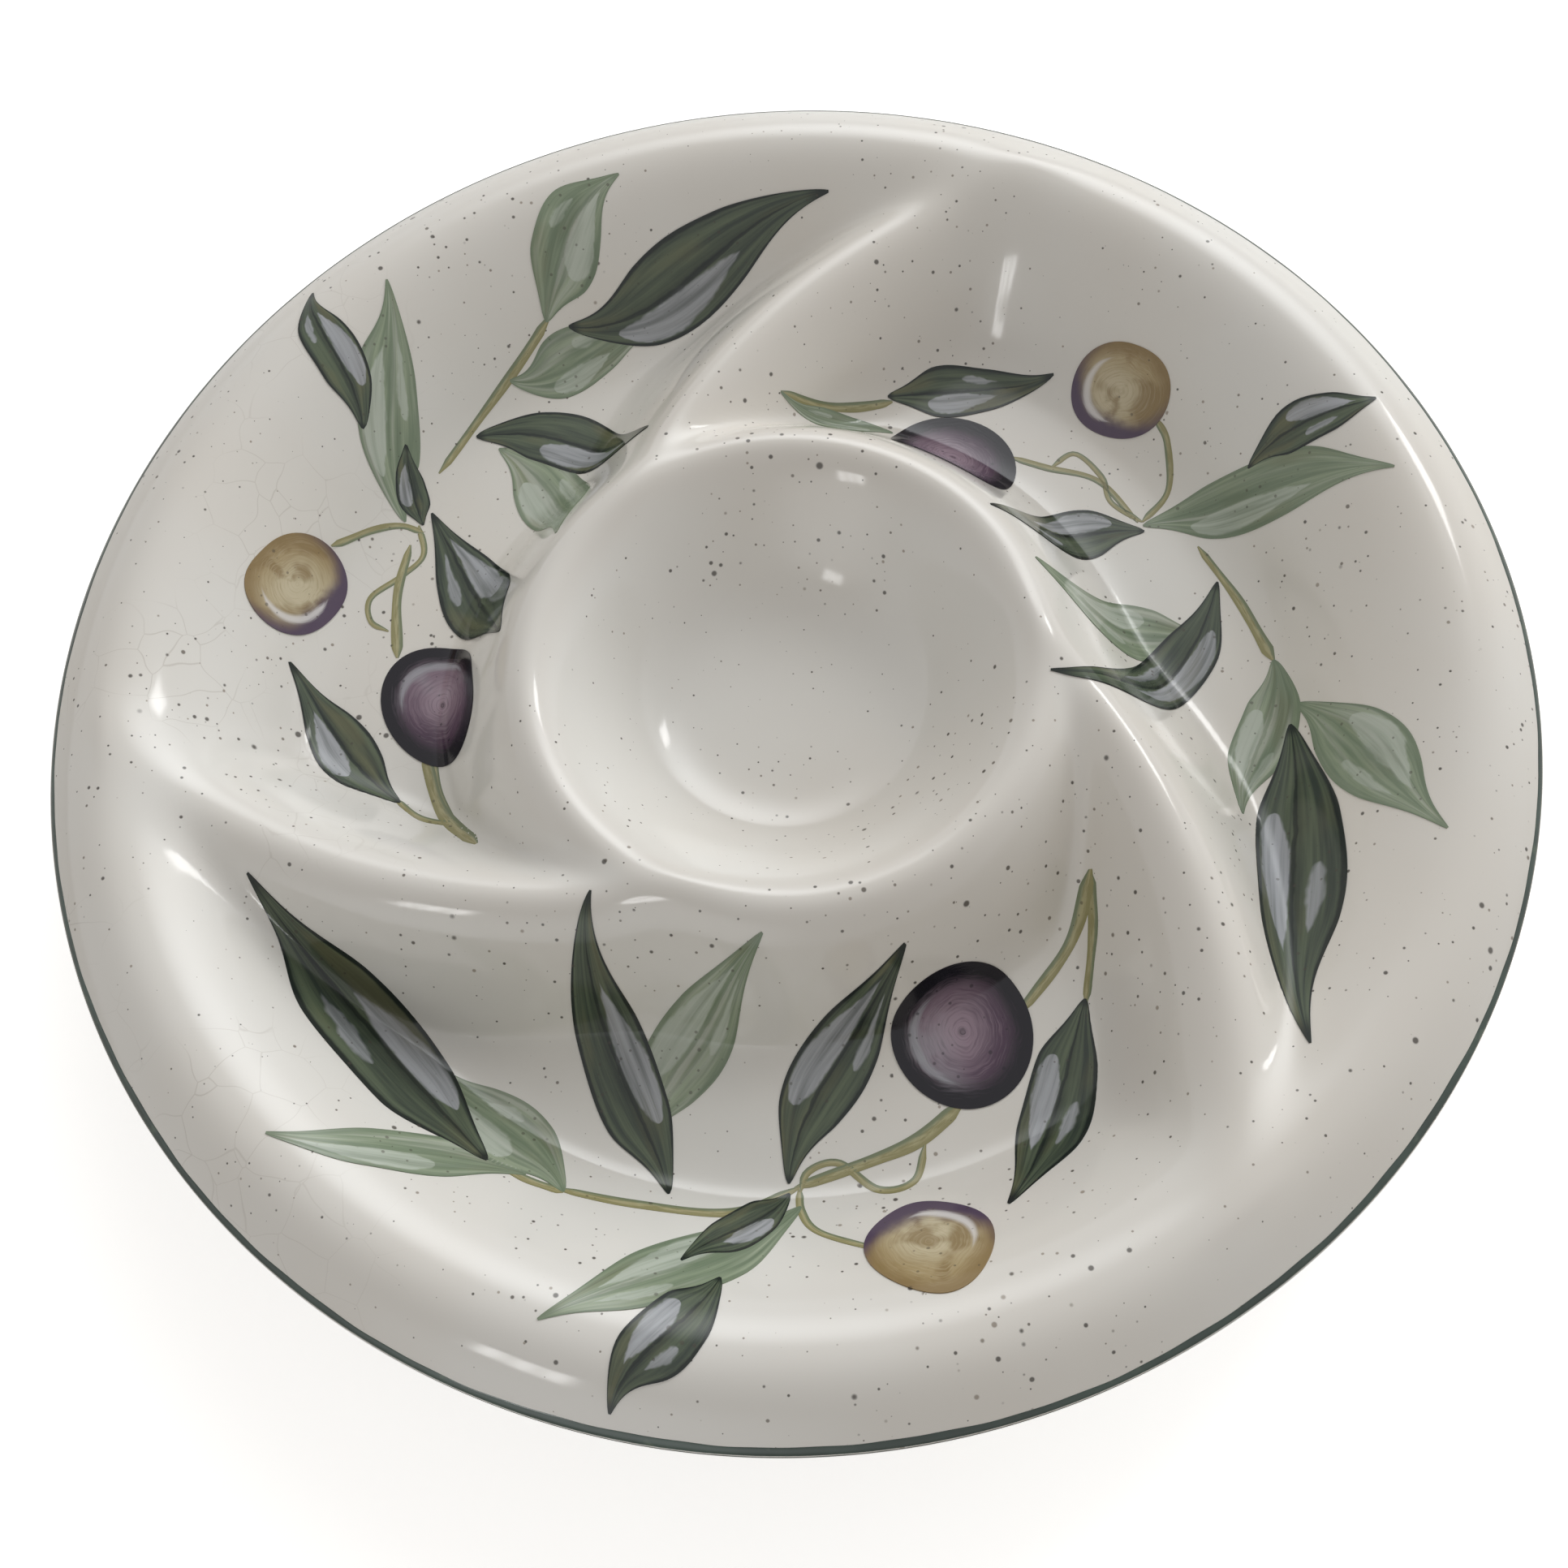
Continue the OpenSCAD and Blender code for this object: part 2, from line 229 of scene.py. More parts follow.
class Wall:
    """The nested surfaces of the dish's wall: face, clay and back."""

    def __init__(self, form):
        self.form = form
        self.crown_r = form.edge_radius - form.rim_roll
        self.floor_z = form.floor_height + form.wall + form.glaze
        self.lip_z = form.height - form.lip_drop
        self.bowl_run = (self.lip_z - self.floor_z) / form.bowl_slope
        rounding = form.rim_slope * form.rim_crown
        self.line_top = form.height - fall(form.rim_roll, form.rim_slope, rounding)
        self.line_bottom = self.line_top - form.line_height
        edge, centre, arc = form.edge_radius, form.swirl_centre, form.swirl_radius
        turn = math.acos((edge**2 + centre**2 - arc**2) / (2 * edge * centre))
        self.swirl_axis = form.swirl_start - turn

    def divider(self, r, turn, deep):
        f = self.form
        along = (r - f.lip_radius) / (self.crown_r - f.lip_radius)
        crest = mix(f.divider_crest_in, f.divider_crest_out, along)
        drop = mix(f.divider_drop_in, f.divider_drop_out, along)
        past_end = np.maximum(0, np.maximum(f.lip_radius - r, r - self.crown_r))
        aside = np.where(
            np.sin(turn) > 0,
            apart(r, turn, f.swirl_centre) - f.swirl_radius,
            apart(r, turn, f.swirl_centre - f.swirl_radius),
        )
        return (
            f.height
            - drop
            - deep
            - fall(aside, f.wall_slope, crest_round(crest, f.wall_slope, deep))
            - fall(past_end, f.divider_end_slope, f.lip_crest)
        )

    def height(self, x, y, deep=0.0):
        """Floor, rim, lip and dividers melt into one surface."""
        f = self.form
        r, a = np.hypot(x, y), np.arctan2(y, x)
        rim_steep = np.where(r < self.crown_r, f.wall_slope, f.rim_slope)
        lip_steep = np.where(r < f.lip_radius, f.bowl_slope, f.wall_slope)
        rim_round = crest_round(f.rim_crown, rim_steep, deep)
        lip_round = crest_round(f.lip_crest, lip_steep, deep)
        heights = [
            np.full_like(r, self.floor_z - deep),
            f.height - deep - fall(r - self.crown_r, rim_steep, rim_round),
            self.lip_z - deep - fall(r - f.lip_radius, lip_steep, lip_round),
        ]
        for i in range(f.dividers):
            turn = a - self.swirl_axis - i * FULL_TURN / f.dividers
            heights.append(self.divider(r, turn, deep))
        soft = mix(
            soft_at(f.hollow_soft, f.wall_slope, deep),
            soft_at(f.bowl_soft, f.bowl_slope, deep),
            (f.lip_radius - r) / self.bowl_run,
        )
        return soft * np.log(sum(np.exp(z / soft) for z in heights))

    def lay(self, x, y, lift):
        """Points that lie on the glazed face, lifted square to it."""
        step = SLOPE_STEP
        dx = (self.height(x + step, y) - self.height(x - step, y)) / (2 * step)
        dy = (self.height(x, y + step) - self.height(x, y - step)) / (2 * step)
        normal = np.stack([-dx, -dy, np.ones_like(dx)], -1)
        normal /= np.linalg.norm(normal, axis=-1, keepdims=True)
        return np.stack([x, y, self.height(x, y)], -1) + lift * normal

    def crest(self, x, y):
        """How far the face bulges above its surroundings: 0 in hollows, 1 on crests."""
        around = 0
        for t in np.linspace(0, FULL_TURN, CREST_TURNS, endpoint=False):
            aside, ahead = CREST_REACH * math.cos(t), CREST_REACH * math.sin(t)
            around += self.height(x + aside, y + ahead)
        bulge = self.height(x, y) - around / CREST_TURNS
        return np.clip(0.5 + bulge / CREST_FULL, 0, 1)

    def surface(self, radii, turns, deep, edge_z, inset=0.0):
        """One surface as rings of points from the middle out, with a level ring at the edge."""
        f = self.form
        a = np.linspace(0, FULL_TURN, turns, endpoint=False)
        r, a = np.meshgrid(radii, a, indexing="ij")
        z = self.height(r * np.cos(a), r * np.sin(a), deep)
        if radii[-1] >= f.edge_radius:
            past_crown = np.clip((r - self.crown_r) / f.rim_roll, 0, 1)
            z += (edge_z - z[-1]) * past_crown**3
            r = r - inset * past_crown**3
        return np.stack([r * np.cos(a), r * np.sin(a), z], -1)

    def disc(self, radii, turns, deep, edge_z, inset=0.0):
        """A surface and its middle point."""
        middle = [0.0, 0.0, float(self.height(np.zeros(1), np.zeros(1), deep)[0])]
        return self.surface(radii, turns, deep, edge_z, inset), middle


# Meshes

SHARP_ANGLE = math.radians(50)
# Bake map: how many radii it spans, then scale and middle of what lies in its corner
MAP_SPAN, CORNER_SCALE, CORNER_MIDDLE = 2.04, 0.09, 0.055


def points_of(mesh):
    points = np.zeros(len(mesh.vertices) * 3, np.float32)
    mesh.vertices.foreach_get("co", points)
    return points.reshape(-1, 3)


def add_map(mesh, name, places):
    """A map with one place for each point."""
    corners = np.zeros(len(mesh.loops), np.int32)
    mesh.loops.foreach_get("vertex_index", corners)
    layer = mesh.uv_layers.new(name=name)
    layer.data.foreach_set("uv", places[corners].astype(np.float32).ravel())


def add_values(mesh, name, values):
    """One value for each point."""
    layer = mesh.attributes.new(name, "FLOAT", "POINT")
    layer.data.foreach_set("value", values.astype(np.float32))


class Shape:
    """Points and faces that closed solids add up to, with what the paint reads at each point."""

    def __init__(self):
        self.points, self.faces, self.strokes, self.seeds = [], [], [], []
        self.count = 0

    def add(self, points, faces, strokes=None, seed=0.0):
        points = np.asarray(points).reshape(-1, 3)
        if strokes is None:
            strokes = np.zeros((len(points), 2))
        self.points.append(points)
        self.faces += [[self.count + i for i in face] for face in faces]
        self.strokes.append(strokes)
        self.seeds.append(np.full(len(points), seed))
        self.count += len(points)

    def plate(self, upper, lower, **paint):
        """A round plate between two discs of rings and a middle, closed at its edge."""
        (upper, upper_middle), (lower, lower_middle) = upper, lower
        rings, turns = upper.shape[:2]
        low_rings = lower.shape[0]
        low = rings * turns
        middles = low + low_rings * turns
        edge, low_edge = low - turns, middles - turns
        faces = []
        for j in range(turns):
            k = (j + 1) % turns
            faces.append([middles, j, k])
            faces += [[i + j, i + turns + j, i + turns + k, i + k] for i in range(0, edge, turns)]
            faces.append([edge + j, low_edge + j, low_edge + k, edge + k])
            faces.append([middles + 1, low + k, low + j])
            starts = range(low, low_edge, turns)
            faces += [[i + j, i + k, i + turns + k, i + turns + j] for i in starts]
        points = [upper.reshape(-1, 3), lower.reshape(-1, 3), [upper_middle], [lower_middle]]
        self.add(np.concatenate(points), faces, **paint)

    def collar(self, sections):
        """A ring whose cross-section is a closed loop. Sections run round the axis."""
        turns, loop = sections.shape[:2]
        faces = []
        for j in range(turns):
            here, there = j * loop, (j + 1) % turns * loop
            for i in range(loop):
                k = (i + 1) % loop
                faces.append([here + i, here + k, there + k, there + i])
        self.add(sections, faces)

    def film(self, top, under, strokes, seed):
        """A thin film of paint between two grids of points, closed all round."""
        rows, cols = top.shape[:2]
        low = rows * cols
        faces = []
        for i in range(0, low - cols, cols):
            for a in range(i, i + cols - 1):
                b, c, d = a + cols, a + cols + 1, a + 1
                faces.append([a, b, c, d])
                faces.append([low + d, low + c, low + b, low + a])
        rim = [
            *range(0, low, cols),
            *range(low - cols + 1, low),
            *range(low - cols - 1, 0, -cols),
            *range(cols - 2, 0, -1),
        ]
        faces += [[p, low + p, low + q, q] for p, q in zip(rim, rim[1:] + rim[:1])]
        points = np.concatenate([top.reshape(-1, 3), under.reshape(-1, 3)])
        self.add(points, faces, np.concatenate([strokes, strokes]), seed)

    def build(self, name, material):
        """The finished piece, smooth but for its sharp edges, riding on the dish."""
        mesh = bpy.data.meshes.new(name)
        mesh.from_pydata(np.concatenate(self.points).tolist(), [], self.faces)
        mesh.validate()
        strokes = np.concatenate(self.strokes)
        if strokes.any():
            add_map(mesh, "stroke", strokes)
            add_values(mesh, "stroke_seed", np.concatenate(self.seeds))
        mesh.materials.append(material)
        mesh.shade_smooth()
        mesh.set_sharp_from_angle(angle=SHARP_ANGLE)
        piece = bpy.data.objects.new(name, mesh)
        bpy.context.scene.collection.objects.link(piece)
        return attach(piece, "root")


def plan_map(piece, radius, upper_count):
    """A map for the bake: the face from above fills it, the rest lies small in a corner."""
    plan = points_of(piece.data)[:, :2] / (MAP_SPAN * radius)
    upper = np.zeros((len(plan), 1), bool)
    upper[:upper_count] = True
    upper[-2] = True
    add_map(piece.data, "OFBake", np.where(upper, 0.5 + plan, CORNER_MIDDLE + CORNER_SCALE * plan))


# Finishes

# Scales count per metre, or per stroke on brushed paint; masks and strengths run from 0 to 1

GLASS_IOR = 1.5
UNDERGLAZE_GLOSS = 0.32
# Specks: spacing of the grains that they grow from, radius of the finest and of the coarsest
FINE_SPECKS = (2.2 * MM, 0.17 * MM, 0.56 * MM)
BOLD_SPECKS = (6.2 * MM, 0.15 * MM, 0.88 * MM)
# Crazing: from this far left it begins, and here it is full
CRAZE_FROM, CRAZE_FULL = -60 * MM, -120 * MM
CRAZE_SWERVE = (6 * MM,) * 3
# Strokes round an olive: where in their grain the pale and the deep ones begin and are full
PALE_STROKES, DEEP_STROKES = (0.46, 0.72), (0.52, 0.28)


class Nodes:
    """A tree of shader nodes that are added from left to right."""

    def __init__(self, tree, bare=False):
        self.tree = tree
        if bare:
            tree.nodes.clear()

    def feed(self, socket, value):
        if isinstance(value, bpy.types.NodeSocket):
            self.tree.links.new(value, socket)
        elif socket.type == "RGBA":
            socket.default_value = (*value[:3], 1.0)
        else:
            socket.default_value = value

    def add(self, kind, inputs, **settings):
        made = self.tree.nodes.new("ShaderNode" + kind)
        for key, value in settings.items():
            setattr(made, key, value)
        for key, value in inputs.items():
            self.feed(made.inputs[key], value)
        return made

    def maths(self, operation, a, b=0.0, clamp=False):
        return self.add("Math", {0: a, 1: b}, operation=operation, use_clamp=clamp).outputs[0]

    def times(self, a, b, clamp=False):
        return self.maths("MULTIPLY", a, b, clamp)

    def plus(self, a, b):
        return self.maths("ADD", a, b)

    def minus(self, a, b):
        return self.maths("SUBTRACT", a, b)

    def step(self, value, low, high):
        """0 below low and 1 above high, softly; the other way round if low is above high."""
        inputs = {"Value": value, "From Min": low, "From Max": high}
        return self.add("MapRange", inputs, interpolation_type="SMOOTHSTEP").outputs["Result"]

    def vectors(self, operation, output, a, b=(0.0, 0.0, 0.0)):
        return self.add("VectorMath", {0: a, 1: b}, operation=operation).outputs[output]

    def place(self):
        return self.add("TexCoord", {}).outputs["Object"]


class Finish(Nodes):
    """A material that is painted one wash over the other."""

    def __init__(self, name, roughness, tint=None):
        self.material = bpy.data.materials.new(name)
        self.material.use_nodes = True
        super().__init__(self.material.node_tree)
        self.shader = self.tree.nodes["Principled BSDF"]
        self.shader.inputs["Roughness"].default_value = roughness
        self.shader.inputs["IOR"].default_value = GLASS_IOR
        self.tint = tint

    def blend(self, factor, a, b):
        inputs = {0: factor, 6: a, 7: b}
        return self.add("Mix", inputs, data_type="RGBA", clamp_factor=True).outputs[2]

    def wash(self, mask, colour, strength=1.0):
        """A colour over all that is painted so far, where the mask says."""
        self.tint = self.blend(self.times(mask, strength), self.tint, colour)

    def noise(self, place, scale, detail=2.0, roughness=0.5):
        inputs = {"Vector": place, "Scale": scale, "Detail": detail, "Roughness": roughness}
        return self.add("TexNoise", inputs, noise_dimensions="3D").outputs[0]

    def wander(self, noise, width):
        """A noise as an offset to both sides."""
        return self.times(self.minus(noise, 0.5), width)

    def value_at(self, name):
        """A value that the mesh holds at each point."""
        made = self.add("Attribute", {}, attribute_type="GEOMETRY", attribute_name=name)
        return made.outputs["Fac"]

    def stroke(self):
        """Along and across a brush stroke, and the stroke's own number."""
        axes = self.add("SeparateXYZ", {0: self.add("UVMap", {}, uv_map="stroke").outputs[0]})
        return axes.outputs[0], axes.outputs[1], self.value_at("stroke_seed")

    def vector(self, x, y, z):
        return self.add("CombineXYZ", {0: x, 1: y, 2: z}).outputs[0]

    def bump(self, height, strength, distance):
        inputs = {"Height": height, "Strength": strength, "Distance": distance}
        self.feed(self.shader.inputs["Normal"], self.add("Bump", inputs).outputs[0])

    def done(self, gloss, span, least):
        """The material, with a roughness that follows a noise from its least value up."""
        self.feed(self.shader.inputs["Base Color"], self.tint)
        self.feed(self.shader.inputs["Roughness"], self.plus(self.times(gloss, span), least))
        return self.material


def specks(f, place, cell, finest, coarsest, spread):
    """Specks strewn through the glaze: how strongly they show, and a random number for each."""
    inputs = {"Vector": place, "Scale": 1 / cell}
    grain = f.add("TexVoronoi", inputs, voronoi_dimensions="3D", feature="F1").outputs
    chance = f.add("SeparateColor", {0: grain["Color"]}).outputs
    size = f.times(f.maths("POWER", chance[0], 2.4), (coarsest - finest) / cell)
    size = f.times(f.plus(size, finest / cell), spread)
    return f.step(grain["Distance"], size, f.times(size, 0.5)), chance[1]


def crazing(f, place):
    """Fine cracks in patches on the left side of the glaze."""
    inputs = {"Vector": place, "Scale": 90.0, "Detail": 1.0}
    swerve = f.vectors("MULTIPLY", 0, f.add("TexNoise", inputs).outputs[1], CRAZE_SWERVE)
    inputs = {"Vector": f.vectors("ADD", 0, swerve, place), "Scale": 105.0}
    crack = f.add("TexVoronoi", inputs, feature="DISTANCE_TO_EDGE").outputs[0]
    side = f.step(f.add("SeparateXYZ", {0: place}).outputs[0], CRAZE_FROM, CRAZE_FULL)
    patch = f.step(f.noise(place, 30), 0.42, 0.6)
    return f.times(f.step(crack, 0.016, 0.0), f.times(side, patch))


def glaze_finish(name, colours, crazed):
    """Glossy off-white glaze with clouds, thin crests, iron specks and perhaps crazing."""
    f = Finish(name, 0.08, colours.glaze)
    place = f.place()
    f.wash(f.step(f.noise(place, 13, 3), 0.35, 0.75), colours.glaze_warm)
    f.wash(f.step(f.value_at("crest"), 0.5, 1.0), colours.glaze_crest, 0.5)
    if crazed:
        f.wash(crazing(f, place), colours.speck_faint, 0.32)
    spread = f.plus(f.times(f.step(f.noise(place, 22), 0.35, 0.7), 0.7), 0.55)
    fine, chance = specks(f, place, *FINE_SPECKS, spread)
    bold, _ = specks(f, place, *BOLD_SPECKS, spread)
    f.wash(fine, f.blend(f.step(chance, 0.4, 1.0), colours.speck, colours.speck_faint), 0.92)
    f.wash(bold, colours.speck, 0.9)
    ripple = f.noise(place, 55, 2)
    f.bump(ripple, 0.05, 1 * MM)
    return f.done(ripple, 0.06, 0.075)


def clay_finish(name, colours, grime):
    """Bare fired stoneware: sandy, matt and a little uneven."""
    f = Finish(name, 0.85, colours.clay)
    place = f.place()
    sand = f.noise(place, 900, 3, 0.65)
    f.wash(f.step(sand, 0.35, 0.7), tuple(0.72 * c for c in colours.clay))
    f.wash(f.step(f.noise(place, 60, 3), 0.45, 0.75), colours.speck_faint, grime)
    grain, _ = specks(f, place, *FINE_SPECKS, 1.0)
    f.wash(grain, colours.speck, 0.6)
    f.bump(sand, 0.35, 0.3 * MM)
    return f.done(sand, 0.2, 0.7)


def edge_finish(name, colours):
    """Green paint brushed round the edge, thinner here and there."""
    f = Finish(name, 0.16, colours.edge)
    place = f.place()
    drag = f.noise(place, 70, 3, 0.6)
    f.wash(f.step(drag, 0.3, 0.75), tuple(1.7 * c for c in colours.edge))
    f.wash(f.step(f.noise(place, 260, 2), 0.58, 0.78), colours.pale_leaf_deep, 0.35)
    f.bump(drag, 0.1, 0.4 * MM)
    return f.done(drag, 0.12, 0.08)


def teardrop(f, along, across, rough, start, span, centre, lean, girth):
    """A brush touch inside a stroke: blunt where it starts, drawn out to a point, rough-edged."""
    u = f.maths("DIVIDE", f.minus(along, start), span, clamp=True)
    swell = f.maths("POWER", u, 0.42)
    taper = f.maths("POWER", f.minus(1.0, u), 0.8)
    half = f.times(f.times(swell, taper), 1.75 * girth)
    off = f.minus(f.minus(across, centre), f.times(u, lean))
    inside = f.plus(f.minus(half, f.maths("ABSOLUTE", off)), f.wander(rough, 0.14))
    return f.times(f.step(inside, 0.0, 0.05), f.step(half, 0.0, 0.02))


def varied(f, seed, times, low=0.0, high=1.0):
    """A number between low and high that each stroke has for itself."""
    chance = f.maths("FRACT", f.times(seed, times))
    return f.plus(f.times(chance, high - low), low)


def brushed(f, stroke, stretch, spread, detail=3):
    """Grain of a brush dragged along a stroke."""
    along, across, seed = stroke
    far = f.times(seed, 37.0)
    place = f.vector(f.plus(f.times(along, stretch), far), f.times(across, spread), far)
    return f.noise(place, 1.0, detail, 0.6)


def fired_paint(f, drag, speck):
    """Paint under the glaze: specks show through it, and the gloss wavers with the brush."""
    iron, _ = specks(f, f.place(), *FINE_SPECKS, 1.0)
    f.wash(iron, speck, 0.55)
    f.bump(drag, 0.05, 0.3 * MM)
    f.shader.inputs["Specular IOR Level"].default_value = UNDERGLAZE_GLOSS
    return f.done(drag, 0.07, 0.07)


def leaf_finish(name, deep, green, line, light, colours, line_strength, light_strength, sheer):
    """A painted leaf: dragged greens, a broad dark rib, teardrops of light and a dark outline."""
    f = Finish(name, 0.1, deep)
    stroke = along, across, seed = f.stroke()
    drag = brushed(f, stroke, 1.6, 8.0)
    rough = brushed(f, stroke, 11.0, 4.0, 2)
    turned = f.maths("GREATER_THAN", varied(f, seed, 3.7), 0.5)
    side = f.maths("ABSOLUTE", f.minus(across, turned))
    f.wash(f.step(drag, 0.3, 0.72), green)
    runny = f.step(brushed(f, stroke, 2.4, 2.2, 1), 0.5, 0.72)
    f.wash(runny, colours.leaf_olive, 0.55 * line_strength)
    middle = f.plus(f.minus(side, 0.5), f.wander(rough, 0.08))
    shade = f.times(f.step(middle, 0.2, 0.0), f.step(middle, -0.02, 0.02))
    f.wash(shade, line, 0.6 * line_strength)
    if sheer:
        f.wash(f.step(brushed(f, stroke, 1.2, 5.0, 2), 0.45, 0.75), colours.glaze, sheer)
    grain = f.plus(f.times(f.step(drag, 0.28, 0.66), 0.62), 0.4)
    start, span = varied(f, seed, 5.3, 0.16, 0.36), varied(f, seed, 7.9, 0.42, 0.58)
    main = teardrop(f, along, side, rough, start, span, 0.24, 0.1, 0.28)
    f.wash(main, light, f.times(grain, light_strength))
    start, span = varied(f, seed, 11.7, 0.36, 0.56), varied(f, seed, 17.3, 0.22, 0.34)
    shown = f.maths("GREATER_THAN", varied(f, seed, 23.1), 0.4)
    other = f.times(teardrop(f, along, side, rough, start, span, 0.76, -0.06, 0.13), shown)
    f.wash(other, light, f.times(grain, 0.85 * light_strength))
    rib = f.times(f.step(f.maths("ABSOLUTE", middle), 0.045, 0.015), f.step(along, 0.97, 0.8))
    f.wash(rib, line, 0.85 * line_strength)
    off_edge = f.times(f.maths("ABSOLUTE", f.minus(across, 0.5)), 2.0)
    off_edge = f.plus(off_edge, f.wander(rough, 0.1))
    ends = f.maths("MAXIMUM", f.step(along, 0.9, 0.98), f.step(along, 0.05, 0.01))
    f.wash(f.maths("MAXIMUM", f.step(off_edge, 0.85, 0.93), ends), line, line_strength)
    return fired_paint(f, drag, colours.speck)


def stem_finish(name, colours):
    """A thin painted stem, lighter along its middle and greener on one side."""
    f = Finish(name, 0.1, colours.stem)
    stroke = _, across, _ = f.stroke()
    drag = brushed(f, stroke, 2.5, 5.0)
    off = f.maths("ABSOLUTE", f.minus(across, 0.5))
    f.wash(f.step(f.plus(across, f.wander(drag, 0.6)), 0.5, 0.75), colours.pale_leaf_deep, 0.75)
    f.wash(f.times(f.step(off, 0.38, 0.08), f.step(drag, 0.38, 0.62)), colours.stem_light, 0.7)
    return fired_paint(f, drag, colours.speck)


def olive_frame(f):
    """Place within an olive, distance from its middle, broad patches, and fine strokes round it."""
    x, y, seed = f.stroke()
    x, y = (f.times(f.minus(c, 0.5), 2.0) for c in (x, y))
    out = f.maths("SQRT", f.plus(f.times(x, x), f.times(y, y)))
    patch = f.noise(f.vector(x, y, f.times(seed, 23.0)), 1.5, 3)
    rings = f.plus(f.times(out, 34.0), f.times(patch, 10.0))
    drag = f.noise(f.vector(rings, f.times(x, 2.6), f.times(y, 2.6)), 1.0, 2, 0.6)
    return x, y, out, patch, drag


def toward(f, x, y, degrees):
    """How far a point lies towards one side of an olive, from -1 to 1."""
    turn = math.radians(degrees)
    return f.plus(f.times(x, math.cos(turn)), f.times(y, math.sin(turn)))


def crescent(f, x, y, out, rough, degrees, radius, width, spread, soft):
    """A curved brush touch at one side of an olive, a moon that thins out towards both ends."""
    facing = f.maths("DIVIDE", toward(f, x, y, degrees), f.maths("MAXIMUM", out, 0.01))
    off = f.maths("ABSOLUTE", f.minus(out, radius))
    off = f.plus(off, f.wander(rough, 0.6 * width))
    return f.step(f.minus(f.times(f.step(facing, spread, 1.0), width), off), 0.0, soft)


def dark_olive_finish(name, colours):
    """A ripe olive: near-black ring, purple flesh, mauve bloom, a grey arc of light and haze."""
    f = Finish(name, 0.1, colours.olive_flesh)
    x, y, out, patch, drag = olive_frame(f)
    lit = f.plus(f.step(toward(f, x, y, 160), -0.7, 0.7), f.step(out, 0.6, 0.1))
    f.wash(f.times(lit, 0.6, clamp=True), colours.olive_bloom)
    f.wash(f.step(drag, *PALE_STROKES), colours.olive_bloom, 0.34)
    f.wash(f.step(drag, *DEEP_STROKES), colours.olive_flesh, 0.42)
    haze = f.times(f.step(toward(f, x, y, 195), -0.1, 0.6), f.step(patch, 0.4, 0.62))
    f.wash(haze, colours.leaf_light, 0.4)
    f.wash(f.step(f.plus(out, f.times(drag, 0.16)), 0.17, 0.07), colours.olive_ring, 0.6)
    f.wash(f.step(f.plus(out, f.wander(drag, 0.3)), 0.56, 0.86), colours.olive_ring)
    arc = crescent(f, x, y, out, drag, 195, 0.68, 0.1, 0.1, 0.08)
    f.wash(arc, colours.leaf_light, 0.6)
    return fired_paint(f, drag, colours.olive_ring)


def gold_olive_finish(name, colours):
    """A half-ripe olive: golden strokes, brown patches and edge, a purple blush, a white touch."""
    f = Finish(name, 0.1, colours.gold_flesh)
    x, y, out, patch, drag = olive_frame(f)
    pale = f.plus(f.step(toward(f, x, y, -60), -0.6, 0.7), f.step(out, 0.75, 0.1))
    f.wash(f.times(pale, 0.7, clamp=True), colours.gold_light)
    f.wash(f.step(patch, 0.54, 0.38), colours.gold_deep, 0.75)
    f.wash(f.step(drag, *PALE_STROKES), colours.gold_light, 0.26)
    f.wash(f.step(drag, *DEEP_STROKES), colours.gold_deep, 0.28)
    f.wash(f.step(f.plus(out, f.wander(patch, 0.3)), 0.66, 0.98), colours.gold_deep, 0.85)
    blush = crescent(f, x, y, out, patch, -40, 1.04, 0.64, -0.9, 0.4)
    f.wash(blush, colours.gold_blush, 0.95)
    light = crescent(f, x, y, out, drag, -85, 0.69, 0.12, 0.1, 0.1)
    f.wash(light, colours.brush_light, 0.8)
    return fired_paint(f, drag, colours.speck)


# The painted sprigs, in millimetres over the plan

# Leaves by compartment: foot and tip, full width, bends near foot and tip
DARK_LEAVES = {
    "front": [
        (-65, -92, -109, -33, 15, 1, 2),
        (-32, -100, -41, -45.5, 14, 0, 8),
        (-9, -100, 18, -60, 13.5, 5, 1),
        (53, -70, 31, -110, 13, 1, 3),
        (-9, -102, -29, -115, 8.5, 2, -1),
        (-22, -119, -42, -140, 12, 2, -3),
    ],
    "left": [
        (-89, 75, -97, 104, 10.5, -3, 3),
        (-42, 103, 22, 122, 13.5, -4, 5),
        (-66, 80, -24, 64, 15, 7, 1),
        (-58, 16, -77, 61, 15.5, 0, 0),
        (-84, -12, -107, 22, 11.5, 3, 1),
        (-79, 58, -81, 75, 6.5, 1, 1),
    ],
    "right": [
        (31, 79, 70, 79.5, 13, 1, -1),
        (84, 36.5, 47, 32, 12.5, -3, -1),
        (97.5, 21.5, 53, -9.5, 12.5, 8, 12),
        (106, 42, 130, 45, 9.5, 3, -1),
        (105, -16, 88, -89, 15.5, 3, -3),
    ],
}
PALE_LEAVES = {
    "front": [
        (-58, -95, -101, -87, 8.5, -2, 1),
        (-51, -99, -78, -68, 12.5, -3, 3),
        (-38, -90.5, -9, -57, 14, 4, 2),
        (-7, -105, -53, -124, 12, 4, 0),
    ],
    "left": [
        (-83, 59, -80, 105, 11.5, 5, -2),
        (-47, 103, -26, 129, 13.5, 2, 4),
        (-57, 92, -22, 104, 11, -3, 3),
        (-61, 77, -45, 37, 16, 6, 5),
    ],
    "right": [
        (84, 38, 130, 28, 12.5, 4, 2),
        (93, 8, 54.5, 18.5, 13.5, 1, 3),
        (105, 0, 91, -35, 11.5, 4, -2),
        (107, -12, 121, -52, 12, 3, -2),
        (31, 69, 6, 73, 5, -2, 2),
    ],
}
